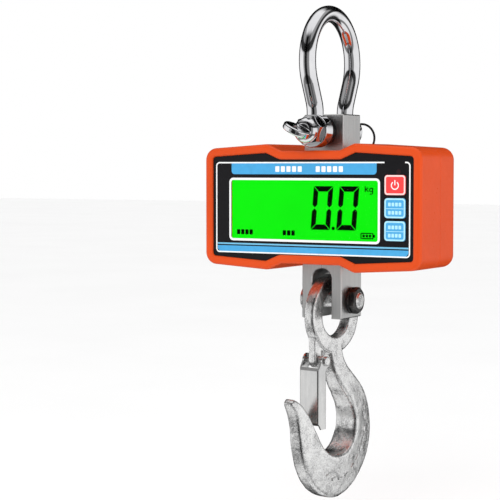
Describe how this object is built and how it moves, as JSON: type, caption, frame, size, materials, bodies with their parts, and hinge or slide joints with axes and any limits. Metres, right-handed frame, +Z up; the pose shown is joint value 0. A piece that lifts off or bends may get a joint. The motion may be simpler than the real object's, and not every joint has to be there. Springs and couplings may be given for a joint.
{
  "type": "crane scale",
  "caption": "Hanging crane scale: shackle and bolt above, display housing round a load cell column, latched swivel hook below.",
  "frame": {"origin": "inside of the shackle's crown, where the scale hangs from a crane hook", "axes": "+Z up, against the load; +X along the wide housing, to the right of someone reading it; +Y from the display to the back"},
  "size_m": [0.216, 0.1331, 0.445],
  "materials": {
    "chromed_steel": "polished chrome plate over forged steel",
    "machined_steel": "satin machined and nickel plated",
    "zinc_steel": "forged, bright zinc plate, mottled",
    "sheet_steel": "zinc plated sheet",
    "dark_steel": "black oxide fasteners and wire",
    "orange_plastic": "moulded, satin, orange",
    "panel_film": "printed film, near black",
    "clear_window": "clear sheet",
    "lcd_green": "lit display, green with black digits",
    "white_plastic": "moulded white",
    "red_button": "printed red cap",
    "blue_button": "printed blue cap",
    "circuit_board": "solder mask green",
    "black_plastic": "moulded black",
    "black_rubber": "moulded rubber",
    "gauge_foil": "foil on film",
    "cable_sheath": "flexible sheath",
    "contact_steel": "nickel plated spring strip",
    "cell_sleeve": "printed sleeve, plain"
  },
  "bodies": {
    "shackle": {"shackle": "chromed_steel", "shackle_bolt": "chromed_steel", "shackle_nut": "chromed_steel", "spacer_washers": "dark_steel"},
    "safety_ring": {"safety_ring": "dark_steel"},
    "scale": {"load_cell": "machined_steel", "strain_gauges": "gauge_foil", "gauge_covers": "black_rubber", "front_shell": "orange_plastic", "rear_shell": "orange_plastic", "shell_gasket": "black_rubber", "case_screws": "dark_steel", "carrier_plate": "sheet_steel", "carrier_screws": "dark_steel", "panel_overlay": "panel_film", "display_window": "clear_window", "lcd_cell": "lcd_green", "backlight": "white_plastic", "display_frame": "white_plastic", "button_switches": "black_plastic", "main_board": "circuit_board", "board_components": "black_plastic", "buzzer": "black_plastic", "remote_sensor": "black_plastic", "board_screws": "dark_steel", "gauge_cable": "cable_sheath", "battery_tray": "black_plastic", "aa_cell_1": "cell_sleeve", "aa_cell_2": "cell_sleeve", "aa_cell_3": "cell_sleeve", "aa_cell_4": "cell_sleeve", "battery_contacts": "contact_steel", "battery_lead": "cable_sheath", "battery_door": "orange_plastic", "door_screws": "dark_steel"},
    "power_button": {"power_button": "red_button"},
    "hold_button": {"hold_button": "blue_button"},
    "tare_button": {"tare_button": "blue_button"},
    "pin": {"hook_pin": "zinc_steel", "pin_washers": "dark_steel", "pin_nut": "dark_steel"},
    "hook": {"hook": "zinc_steel"},
    "latch": {"latch": "sheet_steel", "latch_rivet": "zinc_steel", "latch_spring": "contact_steel"}
  },
  "joints": [
    {"name": "scale_swing", "type": "hinge", "parent": "shackle", "child": "scale", "pos_m": [0, 0, -0.0975], "axis": [0, 1, 0], "range_deg": [-85, 85]},
    {"name": "safety_ring_swing", "type": "hinge", "parent": "shackle", "child": "safety_ring", "pos_m": [0, 0.0375, -0.0975], "axis": [0.4617, 0, 0.887], "range_deg": [-8, 60]},
    {"name": "power_press", "type": "slide", "parent": "scale", "child": "power_button", "axis": [0, 1, 0], "range_m": [0, 0.0006], "stiffness_N_per_m": 400, "springref_m": -0.003},
    {"name": "hold_press", "type": "slide", "parent": "scale", "child": "hold_button", "axis": [0, 1, 0], "range_m": [0, 0.0006], "stiffness_N_per_m": 400, "springref_m": -0.003},
    {"name": "tare_press", "type": "slide", "parent": "scale", "child": "tare_button", "axis": [0, 1, 0], "range_m": [0, 0.0006], "stiffness_N_per_m": 400, "springref_m": -0.003},
    {"name": "hook_swing", "type": "hinge", "parent": "scale", "child": "pin", "pos_m": [0, 0, -0.2495], "axis": [1, 0, 0], "range_deg": [-28, 28]},
    {"name": "hook_twist", "type": "hinge", "parent": "pin", "child": "hook", "pos_m": [0, 0, -0.2495], "axis": [0, 0, 1], "range_deg": [0, 16]},
    {"name": "latch_hinge", "type": "hinge", "parent": "hook", "child": "latch", "pos_m": [-0.00334, -0.02377, -0.303], "axis": [0.9903, -0.1392, 0], "range_deg": [0, 30], "stiffness_Nm_per_rad": 0.06, "springref_deg": -34.38}
  ]
}
